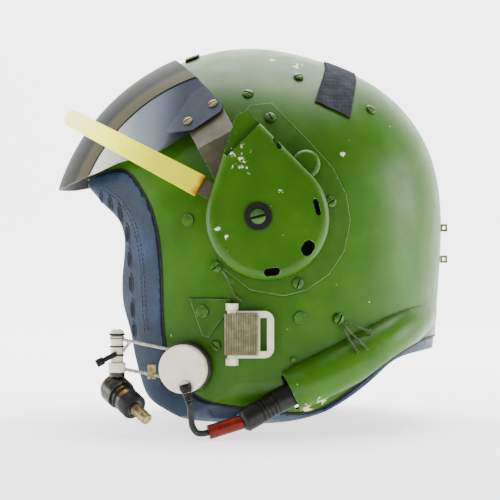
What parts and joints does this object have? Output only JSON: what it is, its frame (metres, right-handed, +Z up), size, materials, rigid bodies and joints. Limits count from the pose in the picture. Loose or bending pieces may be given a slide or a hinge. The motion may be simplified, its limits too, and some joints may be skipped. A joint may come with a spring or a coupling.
{
  "type": "pilot flight helmet",
  "caption": "Green pilot flight helmet with a raised dark visor, yellow visor lever, blue leather edge roll, strap buckles and a left microphone boom with its lead.",
  "frame": {"origin": "middle of the visor's hinge axis, at the centre of the head cavity", "axes": "+Z up, -X towards the face opening, -Y towards the wearer's left"},
  "size_m": [0.3099, 0.3054, 0.2954],
  "materials": {
    "shell_paint": "satin",
    "black_trim": "matte",
    "blue_leather": "satin",
    "foam": "matte",
    "pad_leather": "matte",
    "cup_plastic": "matte",
    "plate_paint": "satin",
    "visor_tint": "gloss",
    "arm_metal": "satin",
    "navy_paint": "satin",
    "lever_yellow": "gloss",
    "brass_worn": "worn",
    "screw_paint": "worn",
    "tape_fabric": "matte",
    "webbing": "matte",
    "white_plastic": "satin",
    "steel": "satin",
    "wire_green": "matte",
    "brown_lace": "matte",
    "dark_metal": "satin",
    "mic_grey": "satin",
    "cable_rubber": "matte",
    "red_rubber": "satin"
  },
  "bodies": {
    "helmet": {"outer_shell": "shell_paint", "edge_bead": "black_trim", "edge_roll": "blue_leather", "foam_liner": "foam", "crown_pad": "pad_leather", "brow_pad": "pad_leather", "nape_pad": "pad_leather", "ear_cup_l": "cup_plastic", "ear_cup_r": "cup_plastic", "ear_seal_l": "pad_leather", "ear_seal_r": "pad_leather", "earphone_l": "cup_plastic", "earphone_r": "cup_plastic", "base_plates": "plate_paint", "pivot_cover_l": "shell_paint", "pivot_cover_r": "shell_paint", "hub_spindles": "steel", "hub_washers": "black_trim", "hub_screws": "screw_paint", "plate_screws": "screw_paint", "shell_screws": "screw_paint", "shell_plugs": "screw_paint", "tape_patch": "tape_fabric", "crown_bumper": "black_trim", "rear_brackets": "brass_worn", "strap_anchors": "plate_paint", "anchor_rivets": "screw_paint", "strap_screws": "screw_paint", "strap_bar_l": "steel", "strap_bar_r": "steel", "strap_wires": "wire_green", "lace_screw": "screw_paint", "lace_wires": "wire_green", "lace_end": "brown_lace", "boom_base": "dark_metal", "boom_cap": "white_plastic", "comms_cord": "cable_rubber", "red_sleeve": "red_rubber", "comms_plug": "black_trim"},
    "visor": {"visor_lens": "visor_tint", "visor_arm_l": "arm_metal", "visor_arm_r": "arm_metal", "corner_plate_l": "navy_paint", "corner_plate_r": "navy_paint", "visor_screws": "brass_worn", "lever_tang": "arm_metal", "visor_lever": "lever_yellow"},
    "boom": {"boom_ring": "dark_metal", "boom_rods": "steel", "rod_clip": "brass_worn", "mic_post": "white_plastic", "thumb_screw": "dark_metal"},
    "microphone": {"mic_clamp": "dark_metal", "mic_body": "mic_grey", "mic_stub": "brass_worn"},
    "buckle_l": {"strap_frame_l": "white_plastic", "webbing_l": "webbing"},
    "buckle_r": {"strap_frame_r": "white_plastic", "webbing_r": "webbing"}
  },
  "joints": [
    {"name": "visor_swing", "type": "hinge", "parent": "helmet", "child": "visor", "pos_m": [0, 0, 0], "axis": [0, -1, 0], "range_deg": [0, 42]},
    {"name": "boom_swing", "type": "hinge", "parent": "helmet", "child": "boom", "pos_m": [-0.05139, -0.1215, -0.10928], "axis": [-0.2419, -0.9703, 0], "range_deg": [-30, 15]},
    {"name": "mic_swivel", "type": "hinge", "parent": "boom", "child": "microphone", "pos_m": [-0.10286, -0.1132, -0.1129], "axis": [0, 0, 1], "range_deg": [-40, 30]},
    {"name": "buckle_swing_l", "type": "hinge", "parent": "helmet", "child": "buckle_l", "pos_m": [-0.01864, -0.1315, -0.08446], "axis": [0, 0, -1], "range_deg": [0, 60]},
    {"name": "buckle_swing_r", "type": "hinge", "parent": "helmet", "child": "buckle_r", "pos_m": [-0.01864, 0.1315, -0.08446], "axis": [0, 0, 1], "range_deg": [0, 60]}
  ]
}
